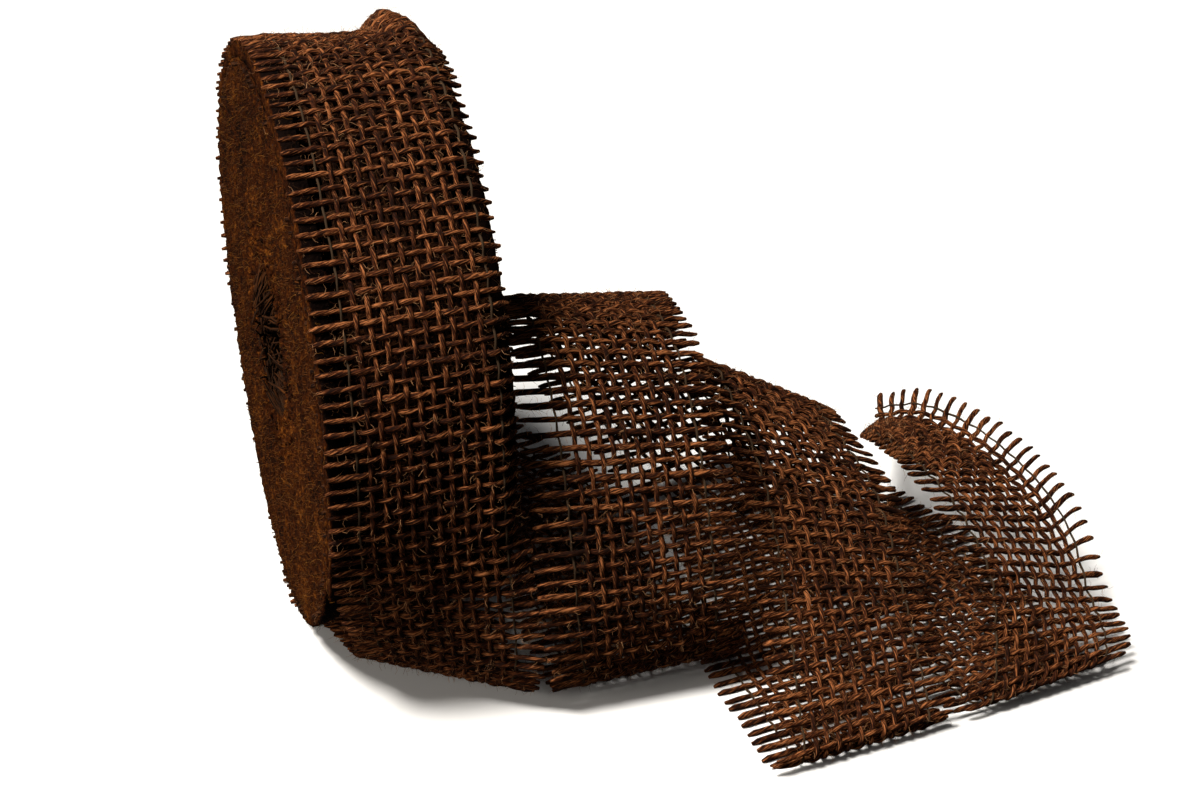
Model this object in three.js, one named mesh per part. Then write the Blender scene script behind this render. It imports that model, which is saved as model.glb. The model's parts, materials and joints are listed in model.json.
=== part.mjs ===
// A roll of fringed jute ribbon, wound on a cardboard core, with its last turns sprung loose.
// Millimetres, +Z up. The roll stands on its rim: its axis runs along X, and the origin is the
// point where it meets the table, under the middle of the roll. The loose turns lie toward +X.
// All of the ribbon is one strip. Its wound part turns with the core and rests inside the
// outermost turn, which has slackened and stands off it. From there a chain of short stretches
// follows one route to the cut end.
import * as THREE from "three";

// Driving dimensions
const ribbonWidth = 50;
const ribbonThickness = 1.2;
const outerTurnDiameter = 155;
const turnSlack = 3.3;
const turnGap = 0.4;
const coreBore = 42;
const coreLength = 42;
const plyThickness = 0.9;
const tapeThickness = 0.3;
const tapeArc = 50;
const seatGap = 0.3;

// How finely the solids are faceted
const coreFacets = 32;
const facetsPerTurn = 24;
const stepsPerStation = 2;
const cellsAcross = 3;

// Sizes that follow from them
const halfCloth = ribbonThickness / 2;
const middleHeight = outerTurnDiameter / 2;
const wrapRadius = middleHeight - halfCloth;
const windingPitch = ribbonThickness + turnGap;
const innerPly = { inside: coreBore / 2, outside: coreBore / 2 + plyThickness };
const outerPlyInside = innerPly.outside + seatGap;
const outerPly = { inside: outerPlyInside, outside: outerPlyInside + plyThickness };
const tape = { inside: outerPly.outside + seatGap, outside: outerPly.outside + seatGap + tapeThickness };
const windingInner = (tape.outside + seatGap) / Math.cos(Math.PI / facetsPerTurn);

// The wound strip grows by one pitch a turn, in whole facets. It ends right under the axis, where
// the outermost turn takes over, so its widest point rests there and the roll can turn freely.
const windingOuter = wrapRadius - halfCloth - turnSlack;
const windingRoom = windingOuter - ribbonThickness - windingInner;
const woundSteps = Math.floor((windingRoom / windingPitch) * facetsPerTurn);
const radiusAtStep = (step) => windingInner + (windingPitch * step) / facetsPerTurn;
const axisHeight = ribbonThickness + seatGap + radiusAtStep(woundSteps) + ribbonThickness;

// The slack outermost turn sinks about half way down to the winding at the top.
const roomAtTop = outerTurnDiameter - ribbonThickness - axisHeight - windingOuter;
const topSag = roomAtTop * 0.55;

// Finishes
const juteDark = new THREE.Color("#4a2a14");
const juteLight = new THREE.Color("#5d3518");
const greyboard = new THREE.Color("#a58a63");
const tapeClear = new THREE.Color("#cfc6a8");

function finish(colour, roughness) {
  return new THREE.MeshStandardMaterial({ color: colour, roughness, metalness: 0 });
}

const radians = THREE.MathUtils.degToRad;

// Turns a solid's faces the right way round when they point inward.
function outward(geometry) {
  const place = geometry.getAttribute("position");
  const index = geometry.getIndex();
  const a = new THREE.Vector3();
  const b = new THREE.Vector3();
  const c = new THREE.Vector3();
  let volume = 0;
  for (let k = 0; k < index.count; k += 3) {
    a.fromBufferAttribute(place, index.getX(k));
    b.fromBufferAttribute(place, index.getX(k + 1));
    c.fromBufferAttribute(place, index.getX(k + 2));
    volume += a.dot(b.cross(c));
  }
  if (volume < 0) {
    for (let k = 0; k < index.count; k += 3) {
      const second = index.getX(k + 1);
      index.setX(k + 1, index.getX(k + 2));
      index.setX(k + 2, second);
    }
  }
  return geometry;
}

// A closed solid between two equal grids of points, one for each face of a sheet.
function sheetSolid(frontGrid, backGrid) {
  const rows = frontGrid.length;
  const columns = frontGrid[0].length;
  const points = [...frontGrid.flat(), ...backGrid.flat()];
  const positions = points.flatMap((p) => [p.x, p.y, p.z]);
  const front = (row, column) => row * columns + column;
  const back = (row, column) => rows * columns + front(row, column);
  const index = [];
  const quad = (a, b, c, d) => index.push(a, b, c, a, c, d);
  for (let row = 0; row < rows - 1; row += 1) {
    for (let column = 0; column < columns - 1; column += 1) {
      quad(front(row, column), front(row, column + 1), front(row + 1, column + 1), front(row + 1, column));
      quad(back(row, column), back(row + 1, column), back(row + 1, column + 1), back(row, column + 1));
    }
    const last = columns - 1;
    quad(front(row, 0), front(row + 1, 0), back(row + 1, 0), back(row, 0));
    quad(front(row, last), back(row, last), back(row + 1, last), front(row + 1, last));
  }
  for (let column = 0; column < columns - 1; column += 1) {
    const end = rows - 1;
    quad(front(0, column), back(0, column), back(0, column + 1), front(0, column + 1));
    quad(front(end, column), front(end, column + 1), back(end, column + 1), back(end, column));
  }
  const geometry = new THREE.BufferGeometry();
  geometry.setAttribute("position", new THREE.Float32BufferAttribute(positions, 3));
  geometry.setIndex(index);
  return outward(geometry);
}

// ---- The loose ribbon's route ----
// Each station is [x, y, z, turn, tilt]: the middle of the ribbon, and the way its width points.
// Turn swings the right-hand edge back (+Y) from straight along X, and tilt lifts it, in degrees.
// Heights on the table are counted in layers of cloth: LOW lies on the table, and OVER and NEAR
// lie on or just above another layer.
const LOW = halfCloth;
const NEAR = LOW + 0.2;
const OVER = LOW + 1;
const across = ribbonWidth / 50;
const curl = outerTurnDiameter / 155;

// The outermost turn starts under the roll and stands off it in a slack fold at the front.
function slackStart() {
  return [
    [0, 9 * curl, LOW, 0, 0],
    [0, 5 * curl, LOW, 0, 0],
    [0, 0, LOW, 0, 0],
    [0, -6 * curl, LOW, 0, 0],
    [across, -14 * curl, LOW, -8, 0],
    [4 * across, -32 * curl, NEAR, -26, 0],
    [5 * across, -52 * curl, 3.2 * curl, -36, 0],
    [5 * across, -64 * curl, 14 * curl, -30, 0],
    [2 * across, -72 * curl, 36 * curl, -14, 0],
    [0, -76.5 * curl, 58 * curl, -4, 0],
  ];
}

// How far the slack turn sinks toward the winding: most at the back of the roll's top.
function sagAt(angle) {
  const middle = -30;
  const reach = 45;
  const share = Math.min(Math.abs(angle - middle) / reach, 1);
  return topSag * Math.cos((Math.PI / 2) * share) ** 2;
}

// Then it runs over the roll from the front to the back, 15 degrees at a time.
function roundTheRoll() {
  const stations = [];
  for (let angle = 90; angle >= -105; angle -= 15) {
    const radius = wrapRadius - sagAt(angle);
    const y = -radius * Math.sin(radians(angle));
    const z = middleHeight + radius * Math.cos(radians(angle));
    stations.push([0, y, z, 0, 0]);
  }
  return stations;
}

// Where the ribbon lies after it leaves the roll: across in widths, back and up in roll sizes.
const looseTurns = [
  // down the back and out along the table, to the right of the roll
  [7, 74, 42, 6, 0],
  [19, 66, 20, 12, 0],
  [36, 47, 5, 16, 0],
  [48, 28, OVER, 14, 2.2],
  [54.5, 10, OVER, 10, 2.2],
  [54.5, -9, OVER, 8, 2.2],
  [54.5, -36, OVER, 6, 2.2],
  [54.5, -60, OVER + 0.6, 6, 2.2],
  // up, over and down the first high loop
  [54.5, -74.5, 10, 3, -1],
  [53.6, -79, 30, 0, -4],
  [53, -74.5, 53, 0, -6],
  [53, -63.5, 73.5, 0, -8],
  [53.6, -45.5, 86, 1, -10],
  [54.6, -26.5, 87, 3, -11],
  [58, -6, 79, 8, -9],
  [68, 10, 60, 14, -6],
  [80, 20, 38, 18, -4],
  [94, 24, 18, 18, -2],
  [105, 17, 3, 14, 0],
  // forward along the table and back over itself in the second loop
  [107, 2, LOW, 10, 0],
  [105, -20, LOW, 8, 0],
  [99, -44, LOW, 8, 0],
  [95, -66, LOW, 8, 0],
  [96, -88, LOW, 8, 0],
  [96.5, -106, NEAR, 8, 0],
  [97, -112, 5, 8, 0],
  [99.5, -102, 10, 6, -3],
  [105, -76, 21, 5, -12],
  [108, -48, 38, 2, -20],
  [105, -20, 50, 1, -30],
  [108, -6, 44, 6, -28],
  [113, 4, 28, 12, -20],
  [120, 2, 11, 14, -10],
  // forward once more, and the last curl up to the cut end
  [130, -10, OVER + 1, 12, -3],
  [138, -30, OVER + 0.1, 11, -2.2],
  [141, -60, OVER + 0.1, 10, -2.2],
  [143, -90, OVER + 0.1, 9, -2.2],
  [148, -103, 4.2, 10, 3],
  [153, -97, 8.5, 11, -4],
  [158, -80, 15, 12, -20],
  [159, -67, 22, 12, -18],
  [157, -54, 28, 14, -17],
  [154, -40, 31, 18, -17],
  [151, -25, 31, 30, -16],
  [147, -11, 29, 42, -17],
  [144, 2, 22, 59, -23],
];

const tableLayer = OVER + 2;

function looseStation([x, y, z, turn, tilt]) {
  const height = z < tableLayer ? z : z * curl;
  return [x * across, y * curl, height, turn, tilt];
}

const stations = [...slackStart(), ...roundTheRoll(), ...looseTurns.map(looseStation)];
const middles = stations.map(([x, y, z]) => new THREE.Vector3(x, y, z));
const widthways = stations.map(([, , , turn, tilt]) => {
  const level = Math.cos(radians(tilt));
  return new THREE.Vector3(
    level * Math.cos(radians(turn)),
    level * Math.sin(radians(turn)),
    Math.sin(radians(tilt)),
  );
});

// A smooth curve through a list of vectors, at a place counted in stations.
function through(list, place) {
  const last = list.length - 1;
  const k = Math.min(Math.floor(place), last - 1);
  const t = place - k;
  const a = list[Math.max(k - 1, 0)];
  const b = list[k];
  const c = list[k + 1];
  const d = list[Math.min(k + 2, last)];
  const blend = (axis) => 0.5 * (2 * b[axis] + (c[axis] - a[axis]) * t
    + (2 * a[axis] - 5 * b[axis] + 4 * c[axis] - d[axis]) * t ** 2
    + (3 * b[axis] - a[axis] - 3 * c[axis] + d[axis]) * t ** 3);
  return new THREE.Vector3(blend("x"), blend("y"), blend("z"));
}

// A point of the ribbon's middle surface: how far along, and how far across from its middle.
// Cloth never sinks through the table.
function onRibbon(place, offset) {
  const point = through(middles, place);
  point.addScaledVector(through(widthways, place).normalize(), offset);
  point.z = Math.max(point.z, halfCloth);
  return point;
}

function ribbonNormal(place, offset) {
  const last = stations.length - 1;
  const small = 0.02;
  const before = onRibbon(Math.max(place - small, 0), offset);
  const after = onRibbon(Math.min(place + small, last), offset);
  const left = onRibbon(place, offset - 1);
  const right = onRibbon(place, offset + 1);
  return after.sub(before).cross(right.sub(left)).normalize();
}

// How much of a station's step covers a given length of ribbon there.
function stepFor(length, place) {
  const small = 0.02;
  const last = stations.length - 1;
  const from = Math.min(place, last - small);
  return (length * small) / onRibbon(from, 0).distanceTo(onRibbon(from + small, 0));
}

// One stretch of the loose ribbon, from one station to another, just clear of its neighbours.
function stretch(from, to) {
  const start = from + (from > 0 ? stepFor(seatGap / 2, from) : 0);
  const end = to - (to < stations.length - 1 ? stepFor(seatGap / 2, to) : 0);
  const rows = Math.round((to - from) * stepsPerStation);
  const front = [];
  const back = [];
  for (let row = 0; row <= rows; row += 1) {
    const place = start + ((end - start) * row) / rows;
    const offsets = Array.from({ length: cellsAcross + 1 }, (_, k) => (k / cellsAcross - 0.5) * ribbonWidth);
    front.push(offsets.map((o) => onRibbon(place, o).addScaledVector(ribbonNormal(place, o), halfCloth)));
    back.push(offsets.map((o) => onRibbon(place, o).addScaledVector(ribbonNormal(place, o), -halfCloth)));
  }
  return sheetSolid(front, back);
}

// ---- The pieces that turn with the core ----
// A tube about the roll's axis, from its inside radius to its outside radius.
function tube({ inside, outside }, length) {
  const half = length / 2;
  const profile = [[inside, -half], [outside, -half], [outside, half], [inside, half], [inside, -half]];
  const points = profile.map(([radius, along]) => new THREE.Vector2(radius, along));
  const geometry = new THREE.LatheGeometry(points, coreFacets);
  geometry.rotateZ(-Math.PI / 2);
  return outward(geometry);
}

// A point about the roll's axis: angle 0 is the top, and the angle grows toward the front.
function aboutAxis(along, radius, angle) {
  return new THREE.Vector3(along, -radius * Math.sin(angle), radius * Math.cos(angle));
}

// A strip wrapped about the axis, through a list of angles and inner radii.
function wrappedStrip(rows, length, thickness) {
  const inner = [];
  const outer = [];
  for (const [angle, radius] of rows) {
    const ends = [-length / 2, length / 2];
    inner.push(ends.map((along) => aboutAxis(along, radius, angle)));
    outer.push(ends.map((along) => aboutAxis(along, radius + thickness, angle)));
  }
  return sheetSolid(outer, inner);
}

// A stretch of the wound ribbon: a strip in a spiral, between two of its steps.
function woundRibbon(fromStep, toStep) {
  const stepAngle = (2 * Math.PI) / facetsPerTurn;
  const rows = [];
  for (let step = fromStep; step <= toStep; step += 1) {
    const radius = radiusAtStep(step);
    const trim = step === toStep ? seatGap / radius : 0;
    rows.push([(woundSteps - step) * stepAngle - Math.PI + trim, radius]);
  }
  return wrappedStrip(rows, ribbonWidth, ribbonThickness);
}

function startTape() {
  const steps = 6;
  const rows = Array.from({ length: steps + 1 }, (_, k) => [radians(tapeArc * k) / steps, tape.inside]);
  return wrappedStrip(rows, coreLength * 0.6, tapeThickness);
}

// ---- The assembly ----
const ribbon = new THREE.Group();
const roll = new THREE.Group();
roll.position.z = axisHeight;
ribbon.add(roll);

function place(group, name, geometry, material) {
  const mesh = new THREE.Mesh(geometry, material);
  mesh.name = name;
  group.add(mesh);
}

place(roll, "core_inner_ply", tube(innerPly, coreLength), finish(greyboard, 0.85));
place(roll, "core_outer_ply", tube(outerPly, coreLength), finish(greyboard, 0.85));
place(roll, "start_tape", startTape(), finish(tapeClear, 0.4));
const woundStretches = ["wound_innermost", "wound_inner", "wound_middle", "wound_outer"];
woundStretches.forEach((name, k) => {
  const from = Math.round((k * woundSteps) / woundStretches.length);
  const to = Math.round(((k + 1) * woundSteps) / woundStretches.length);
  place(roll, name, woundRibbon(from, to), finish(juteDark, 0.95));
});

// The stretches of the loose ribbon, each with the stations where it starts and ends
const stretches = [
  ["wrap_under_roll", 0, 4],
  ["wrap_slack_fold", 4, 7],
  ["wrap_front_lower", 7, 10],
  ["wrap_front_upper", 10, 13],
  ["wrap_top_front", 13, 16],
  ["wrap_top_back", 16, 19],
  ["wrap_back_upper", 19, 22],
  ["wrap_back_lower", 22, 25],
  ["lead_off_slope", 25, 27],
  ["lead_off_floor", 27, 31],
  ["high_loop_foot", 31, 33],
  ["high_loop_front", 33, 35],
  ["high_loop_crest", 35, 38],
  ["high_loop_back", 38, 41],
  ["high_loop_landing", 41, 43],
  ["second_floor_run", 43, 48],
  ["second_loop_fold", 48, 50],
  ["second_loop_front", 50, 52],
  ["second_loop_crest", 52, 55],
  ["second_loop_back", 55, 57],
  ["third_floor_run", 57, 60],
  ["last_curl_fold", 60, 62],
  ["last_curl_front", 62, 65],
  ["last_curl_crest", 65, 67],
  ["cut_end", 67, 69],
];
for (const [name, from, to] of stretches) {
  place(ribbon, name, stretch(from, to), finish(juteLight, 0.95));
}

export default ribbon;
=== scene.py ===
# %% [markdown]
# # A roll of fringed jute ribbon
# The ribbon is one strip of open plain weave: twelve thin warp ends run its length, and thick,
# hairy weft picks cross them and stick out on both sides as a fringe. Most of it is wound on a
# cardboard core. The outermost turn has slackened, and the last turns have sprung away to the
# right in curls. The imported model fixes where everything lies. Here every yarn is made and laid
# on that route, so that light and the table show through the cells as they do on real jute.

# %% Load the frame
import json
import math

import bpy
import numpy as np
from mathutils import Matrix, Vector


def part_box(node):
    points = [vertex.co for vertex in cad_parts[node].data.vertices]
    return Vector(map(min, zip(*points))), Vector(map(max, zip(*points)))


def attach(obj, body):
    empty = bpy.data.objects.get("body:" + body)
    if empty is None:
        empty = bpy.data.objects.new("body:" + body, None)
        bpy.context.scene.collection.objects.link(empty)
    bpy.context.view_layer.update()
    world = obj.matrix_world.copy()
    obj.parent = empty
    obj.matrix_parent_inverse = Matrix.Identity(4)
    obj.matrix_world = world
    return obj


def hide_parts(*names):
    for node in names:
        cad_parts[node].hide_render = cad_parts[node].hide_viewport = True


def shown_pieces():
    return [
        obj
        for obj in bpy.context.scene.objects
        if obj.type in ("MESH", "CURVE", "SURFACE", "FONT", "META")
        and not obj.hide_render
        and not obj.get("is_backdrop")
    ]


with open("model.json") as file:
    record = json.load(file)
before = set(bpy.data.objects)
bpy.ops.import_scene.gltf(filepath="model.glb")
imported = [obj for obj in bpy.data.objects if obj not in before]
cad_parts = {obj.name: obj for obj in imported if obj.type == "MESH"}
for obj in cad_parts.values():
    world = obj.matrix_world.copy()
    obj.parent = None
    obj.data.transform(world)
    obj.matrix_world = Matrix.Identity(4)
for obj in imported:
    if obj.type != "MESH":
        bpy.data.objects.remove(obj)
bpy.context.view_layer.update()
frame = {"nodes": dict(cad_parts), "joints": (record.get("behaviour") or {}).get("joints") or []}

# %% [markdown]
# ## Camera, table and light
# The roll is seen from its left and a little above. A long lens keeps the two ends of the roll
# nearly parallel. The table is a plain pale sheet, and big soft lights stand over it: the
# strongest one is high on the left, so that the yarns catch it on their upper sides and the
# cells between them stay dark.

# %% Camera
CAMERA_TARGET = Vector((0.0633, 0.0, 0.0444))
CAMERA_DISTANCE = 0.646
CAMERA_TURN = math.radians(-16.7)
CAMERA_LIFT = math.radians(28.83)

camera_data = bpy.data.cameras.new("camera")
camera_data.lens = 72
camera_data.sensor_width = 36
camera_data.clip_start = 0.01
camera = bpy.data.objects.new("camera", camera_data)
toward_camera = Vector((
    math.cos(CAMERA_LIFT) * math.sin(CAMERA_TURN),
    -math.cos(CAMERA_LIFT) * math.cos(CAMERA_TURN),
    math.sin(CAMERA_LIFT),
))
camera.location = CAMERA_TARGET + toward_camera * CAMERA_DISTANCE
camera.rotation_euler = (-toward_camera).to_track_quat("-Z", "Y").to_euler()
bpy.context.scene.collection.objects.link(camera)
bpy.context.scene.camera = camera
bpy.context.scene.view_settings.view_transform = "Standard"
print("camera at", [round(v, 3) for v in camera.location])


# %% Lights
def soft_light(name, place, aim, size, power, colour):
    """A square area light at a place, turned to face a point."""
    data = bpy.data.lights.new(name, "AREA")
    data.shape = "SQUARE"
    data.size = size
    data.energy = power
    data.color = colour
    light = bpy.data.objects.new(name, data)
    light.location = place
    light.rotation_euler = (Vector(aim) - Vector(place)).to_track_quat("-Z", "Y").to_euler()
    bpy.context.scene.collection.objects.link(light)


def soft_sun(name, direction, spread, strength, colour):
    """A distant light that shines from a direction, its shadows softened by its spread in degrees."""
    data = bpy.data.lights.new(name, "SUN")
    data.energy = strength
    data.angle = math.radians(spread)
    data.color = colour
    light = bpy.data.objects.new(name, data)
    light.rotation_euler = (-Vector(direction)).to_track_quat("-Z", "Y").to_euler()
    bpy.context.scene.collection.objects.link(light)


LIGHT_AIM = (0.06, 0.0, 0.05)
soft_sun("overhead_key", (-0.4, -0.14, 0.9), 14, 4.0, (1.0, 0.96, 0.9))
soft_light("roll_light", (-0.25, -0.1, 0.52), (0.0, 0.0, 0.1), 0.15, 1.3, (1.0, 0.94, 0.86))
soft_light("side_light", (-1.0, -0.35, 0.4), LIGHT_AIM, 0.5, 5, (1.0, 0.93, 0.84))

world = bpy.data.worlds.new("studio")
world.use_nodes = True
world.node_tree.nodes["Background"].inputs["Color"].default_value = (1.0, 1.0, 1.0, 1.0)
world.node_tree.nodes["Background"].inputs["Strength"].default_value = 0.05
bpy.context.scene.world = world

# %% Table
TABLE_HALF = 4.0
table_mesh = bpy.data.meshes.new("table")
corners = [(-1, -1), (1, -1), (1, 1), (-1, 1)]
table_mesh.from_pydata([(x * TABLE_HALF, y * TABLE_HALF, 0.0) for x, y in corners], [], [(0, 1, 2, 3)])
table = bpy.data.objects.new("table", table_mesh)
bpy.context.scene.collection.objects.link(table)
table_finish = bpy.data.materials.new("table_white")
table_finish.use_nodes = True
table_shader = table_finish.node_tree.nodes["Principled BSDF"]
table_shader.inputs["Base Color"].default_value = (0.94, 0.94, 0.94, 1.0)
table_shader.inputs["Roughness"].default_value = 0.9
table_shader.inputs["Specular IOR Level"].default_value = 0.1
table_mesh.materials.append(table_finish)
# the pale table throws no light back up, or the shaded undersides of the loops would turn grey
table.visible_diffuse = False
table.visible_glossy = False
table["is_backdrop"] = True
print(f"table {TABLE_HALF * 2:.0f} m square")

# %% [markdown]
# ## Sizes of the cloth
# Everything below follows from the ribbon's width over its fringes, its twelve warp ends and the
# two pitches of the weave. Lengths are in metres, and the route's listed places are in
# millimetres, as they are in the frame's own source.

# %% Sizes
MM = 0.001
RIBBON_WIDTH = 50 * MM
HALF_WIDTH = RIBBON_WIDTH / 2
WARP_ENDS = 12
WARP_PITCH = 3.13 * MM
WEFT_PITCH = 3.56 * MM
WOVEN_HALF = WARP_PITCH * (WARP_ENDS - 1) / 2
MIDDLE_END = (WARP_ENDS - 1) / 2
WARP_THICKNESS = 1.27 * MM
WEFT_THICKNESS = 1.48 * MM
HALF_CLOTH = 0.6 * MM

roll_joint = frame["joints"][0]
AXIS_HEIGHT = roll_joint["pos_m"][2]
WINDING_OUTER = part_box("wound_outer")[1].y
CORE_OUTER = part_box("core_outer_ply")[1].y
print(f"woven {WOVEN_HALF * 2 / MM:.1f} mm wide, fringe {(HALF_WIDTH - WOVEN_HALF) / MM:.1f} mm a side")
print(f"winding radius {WINDING_OUTER / MM:.1f} mm about an axis {AXIS_HEIGHT / MM:.1f} mm up")

# %% [markdown]
# ## The loose ribbon's route
# Each station says where the ribbon's middle is and which way its width points: x, y, z, turn
# and tilt. The ribbon starts under the roll, stands off it in a slack fold at the front, goes
# over the roll and down its back, and then winds forward and back along the table in three
# loose curls. A smooth curve through the stations gives any point of the strip.

# %% Stations
LOW = 0.6
NEAR = LOW + 0.2
OVER = LOW + 1
WRAP_RADIUS = 76.9
WRAP_HEIGHT = 77.5
WRAP_FIRST_ANGLE, WRAP_LAST_ANGLE, WRAP_STEP = 90, -105, 15
SAG_MIDDLE, SAG_REACH, TOP_SAG = -30, 45, 3.5

slack_start = [
    (0, 9, LOW, 0, 0), (0, 5, LOW, 0, 0), (0, 0, LOW, 0, 0), (0, -6, LOW, 0, 0),
    (1, -14, LOW, -8, 0), (4, -32, NEAR, -26, 0), (5, -52, 3.2, -36, 0), (5, -64, 14, -30, 0),
    (2, -72, 36, -14, 0), (0, -76.5, 58, -4, 0),
]


def sag_at(angle):
    """How far the slack turn sinks toward the winding at an angle from the roll's top."""
    share = np.minimum(np.abs(angle - SAG_MIDDLE) / SAG_REACH, 1)
    return np.cos(np.pi / 2 * share) ** 2


def round_the_roll():
    """Stations up the front of the roll, over its top and down its back."""
    stations = []
    for angle in range(WRAP_FIRST_ANGLE, WRAP_LAST_ANGLE - 1, -WRAP_STEP):
        radius = WRAP_RADIUS - TOP_SAG * sag_at(angle)
        along, up = -math.sin(math.radians(angle)), math.cos(math.radians(angle))
        stations.append((0, radius * along, WRAP_HEIGHT + radius * up, 0, 0))
    return stations


loose_turns = [
    # down the back and out along the table, to the right of the roll
    (7, 74, 42, 6, 0), (19, 66, 20, 12, 0), (36, 47, 5, 16, 0), (48, 28, OVER, 14, 2.2),
    (54.5, 10, OVER, 10, 2.2), (54.5, -9, OVER, 8, 2.2), (54.5, -36, OVER, 6, 2.2),
    (54.5, -60, OVER + 0.6, 6, 2.2),
    # up, over and down the first high loop
    (54.5, -74.5, 10, 3, -1), (53.6, -79, 30, 0, -4), (53, -74.5, 53, 0, -6),
    (53, -63.5, 73.5, 0, -8), (53.6, -45.5, 86, 1, -10), (54.6, -26.5, 87, 3, -11),
    (58, -6, 79, 8, -9), (68, 10, 60, 14, -6), (80, 20, 38, 18, -4), (94, 24, 18, 18, -2),
    (105, 17, 3, 14, 0),
    # forward along the table and back over itself in the second loop
    (107, 2, LOW, 10, 0), (105, -20, LOW, 8, 0), (99, -44, LOW, 8, 0), (95, -66, LOW, 8, 0),
    (96, -88, LOW, 8, 0), (96.5, -106, NEAR, 8, 0), (97, -112, 5, 8, 0), (99.5, -102, 10, 6, -3),
    (105, -76, 21, 5, -12), (108, -48, 38, 2, -20), (105, -20, 50, 1, -30), (108, -6, 44, 6, -28),
    (113, 4, 28, 12, -20), (120, 2, 11, 14, -10),
    # forward once more, and the last curl up to the cut end
    (130, -10, OVER + 1, 12, -3), (138, -30, OVER + 0.1, 11, -2.2), (141, -60, OVER + 0.1, 10, -2.2),
    (143, -90, OVER + 0.1, 9, -2.2), (148, -103, 4.2, 10, 3), (153, -97, 8.5, 11, -4),
    (158, -80, 15, 12, -20), (159, -67, 22, 12, -18), (157, -54, 28, 14, -17),
    (154, -40, 31, 18, -17), (151, -25, 31, 30, -16), (147, -11, 29, 42, -17), (144, 2, 22, 59, -23),
]
stations = np.array([*slack_start, *round_the_roll(), *loose_turns], float)
print(len(stations), "stations")


# %% A smooth strip through the stations
def through(values, places):
    """A smooth curve through a list of vectors, at places counted in stations."""
    last = len(values) - 1
    k = np.clip(np.floor(places).astype(int), 0, last - 1)
    t = (places - k)[:, None]
    a, b = values[np.maximum(k - 1, 0)], values[k]
    c, d = values[k + 1], values[np.minimum(k + 2, last)]
    cubic = (3 * b - a - 3 * c + d) * t ** 3
    return 0.5 * (2 * b + (c - a) * t + (2 * a - 5 * b + 4 * c - d) * t ** 2 + cubic)


middles = stations[:, :3]
turns, tilts = np.radians(stations[:, 3]), np.radians(stations[:, 4])
widthways = np.stack([np.cos(tilts) * np.cos(turns), np.cos(tilts) * np.sin(turns), np.sin(tilts)], 1)

fine_places = np.linspace(0, len(stations) - 1, 6000)
fine_middles = through(middles, fine_places)
steps = np.linalg.norm(np.diff(fine_middles, axis=0), axis=1)
run_so_far = np.concatenate([[0], np.cumsum(steps)]) * MM
LOOSE_LENGTH = run_so_far[-1]


def place_at(run):
    """The place, in stations, at a distance along the ribbon in metres."""
    return np.interp(run, run_so_far, fine_places)


def run_at(place):
    return float(np.interp(place, fine_places, run_so_far))


print(f"loose ribbon {LOOSE_LENGTH:.3f} m long")

# %% [markdown]
# ## How the slack turn sits
# A turn that has slackened isn't a true cylinder. At the top its middle sinks onto the winding
# while the right-hand side stays up in a soft ridge, and the fringe on that side is pressed in
# and down. These shifts are worked out for the stretch that goes over the roll, and fade to
# nothing on either side of it. The high loop leans against the roll with its left-hand fringe.
# On the last curl nothing holds the right-hand fringe, and it flares up.

# %% Shape of the slack turn
ROLL_FIRST, ROLL_LAST = 7.0, 24.0
RIDGE_HEIGHT, RIDGE_OFFSET, RIDGE_REACH = 3.6, 14.0, 3.6
DIP_DEPTH = 2.4
FRINGE_DOWN_AT_TOP, FRINGE_DOWN, FRINGE_IN = 4.0, 3.2, 3.0
LEAN_FIRST, LEAN_LAST = 31, 44
LEAN, FRINGE_LEAN = 1.8, 3.2
CURL_FIRST = 62.5
FLARE_UP, FLARE_IN = 8.0, 3.0


def smooth(low, high, values):
    """A smooth step from 0 at low to 1 at high."""
    share = np.clip((values - low) / (high - low), 0, 1)
    return share * share * (3 - 2 * share)


def slack_shape(places, offsets, points):
    """Moves points of the strip (rows by columns, in millimetres) as the slack turn sits."""
    on_roll = smooth(ROLL_FIRST, ROLL_FIRST + 3, places) * (1 - smooth(ROLL_LAST - 3, ROLL_LAST, places))
    angle = WRAP_FIRST_ANGLE - WRAP_STEP * (places - len(slack_start))
    sag = sag_at(angle) * on_roll
    outward = points - np.array([0, 0, WRAP_HEIGHT])
    outward[..., 0] = 0
    outward /= np.linalg.norm(outward, axis=2, keepdims=True)
    ridge = RIDGE_HEIGHT * np.exp(-((offsets - RIDGE_OFFSET) / RIDGE_REACH) ** 2)
    dip = DIP_DEPTH * smooth(-22, 4, offsets) * (1 - smooth(8, 13, offsets))
    press = smooth(16, 25, offsets)
    at_top = sag[:, None] * (ridge - dip - FRINGE_DOWN_AT_TOP * press)[None, :]
    lift = at_top - on_roll[:, None] * (FRINGE_DOWN * press)[None, :]
    moved = points + outward * lift[..., None]
    moved[..., 0] -= on_roll[:, None] * (FRINGE_IN * press)[None, :]
    leaning = smooth(LEAN_FIRST, LEAN_FIRST + 2.5, places) * (1 - smooth(LEAN_LAST - 3, LEAN_LAST, places))
    moved[..., 0] -= leaning[:, None] * (LEAN + FRINGE_LEAN * smooth(14, 25, -offsets)[None, :])
    flare = smooth(CURL_FIRST, CURL_FIRST + 2, places)[:, None] * smooth(9, 25, offsets)[None, :]
    moved[..., 2] += FLARE_UP * flare
    moved[..., 0] -= FLARE_IN * flare
    return moved


# %% [markdown]
# ## Guides
# A guide is a plain grid that lies where the middle of the cloth lies. It carries two things for
# the loom below: a flat map of the ribbon, and the direction that points away from the cloth at
# every grid point. It is thrown away once the yarns have been laid on it.

# %% Guide grids
GUIDE_STEP = 1.5 * MM
GUIDE_COLUMNS = 31


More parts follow.
